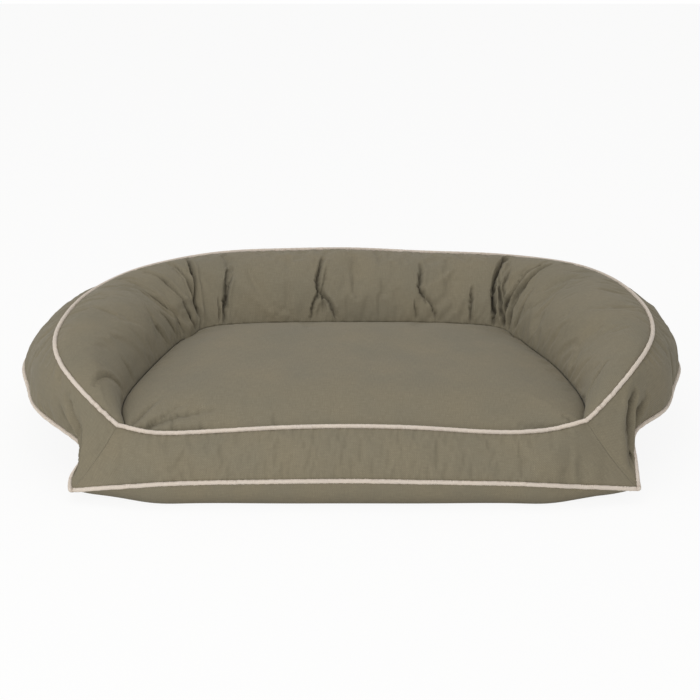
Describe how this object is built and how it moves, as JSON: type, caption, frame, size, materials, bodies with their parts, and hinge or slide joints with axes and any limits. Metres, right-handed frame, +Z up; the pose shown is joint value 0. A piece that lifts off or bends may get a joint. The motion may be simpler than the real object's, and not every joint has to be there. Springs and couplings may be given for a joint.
{
  "type": "dog_bed_bolster",
  "caption": "Bolster dog bed: U-shaped stuffed bolster round a crowned seat cushion, in one zipped cotton twill cover with contrast piping along its seams and an open front",
  "frame": {"origin": "middle of the footprint's box, on the floor", "axes": "+X is the right-hand arm, -Y the open front, +Z up"},
  "size_m": [1.067, 0.763, 0.2082],
  "materials": {
    "cover_cloth": "matte olive cotton twill",
    "piping_cloth": "matte cream bias-cut cotton",
    "filler_cord": "soft white cotton filler",
    "liner_cloth": "thin white polyester cloth",
    "polyester_fibre": "white carded fibre",
    "seat_foam": "pale open-cell foam",
    "zip_tape": "woven olive tape",
    "zip_nylon": "olive nylon coil",
    "slider_paint": "satin olive paint on zinc",
    "stop_metal": "dull stamped metal"
  },
  "bodies": {
    "bed": {"cover_seat_panel": "cover_cloth", "cover_bolster_panel": "cover_cloth", "cover_front_band": "cover_cloth", "cover_outer_band": "cover_cloth", "cover_base_panel": "cover_cloth", "upper_piping_sleeve": "piping_cloth", "upper_piping_cord": "filler_cord", "lower_piping_sleeve": "piping_cloth", "lower_piping_cord": "filler_cord", "bolster_filling": "polyester_fibre", "bolster_liner": "liner_cloth", "seat_foam_core": "seat_foam", "seat_fibre_layer": "polyester_fibre", "seat_liner": "liner_cloth", "zip_upper_tape": "zip_tape", "zip_lower_tape": "zip_tape", "zip_upper_coil": "zip_nylon", "zip_lower_coil": "zip_nylon", "zip_closed_end_stop": "stop_metal", "zip_open_end_stop": "stop_metal"},
    "slider": {"zip_slider": "slider_paint"},
    "tab": {"zip_pull_tab": "slider_paint"}
  },
  "joints": [
    {"name": "zip_run", "type": "slide", "parent": "bed", "child": "slider", "axis": [1, 0, 0], "range_m": [0, 0.38]},
    {"name": "tab_lift", "type": "hinge", "parent": "slider", "child": "tab", "pos_m": [-0.19295, 0.36099, 0.06209], "axis": [0, 0.5202, 0.854], "range_deg": [0, 170]}
  ]
}
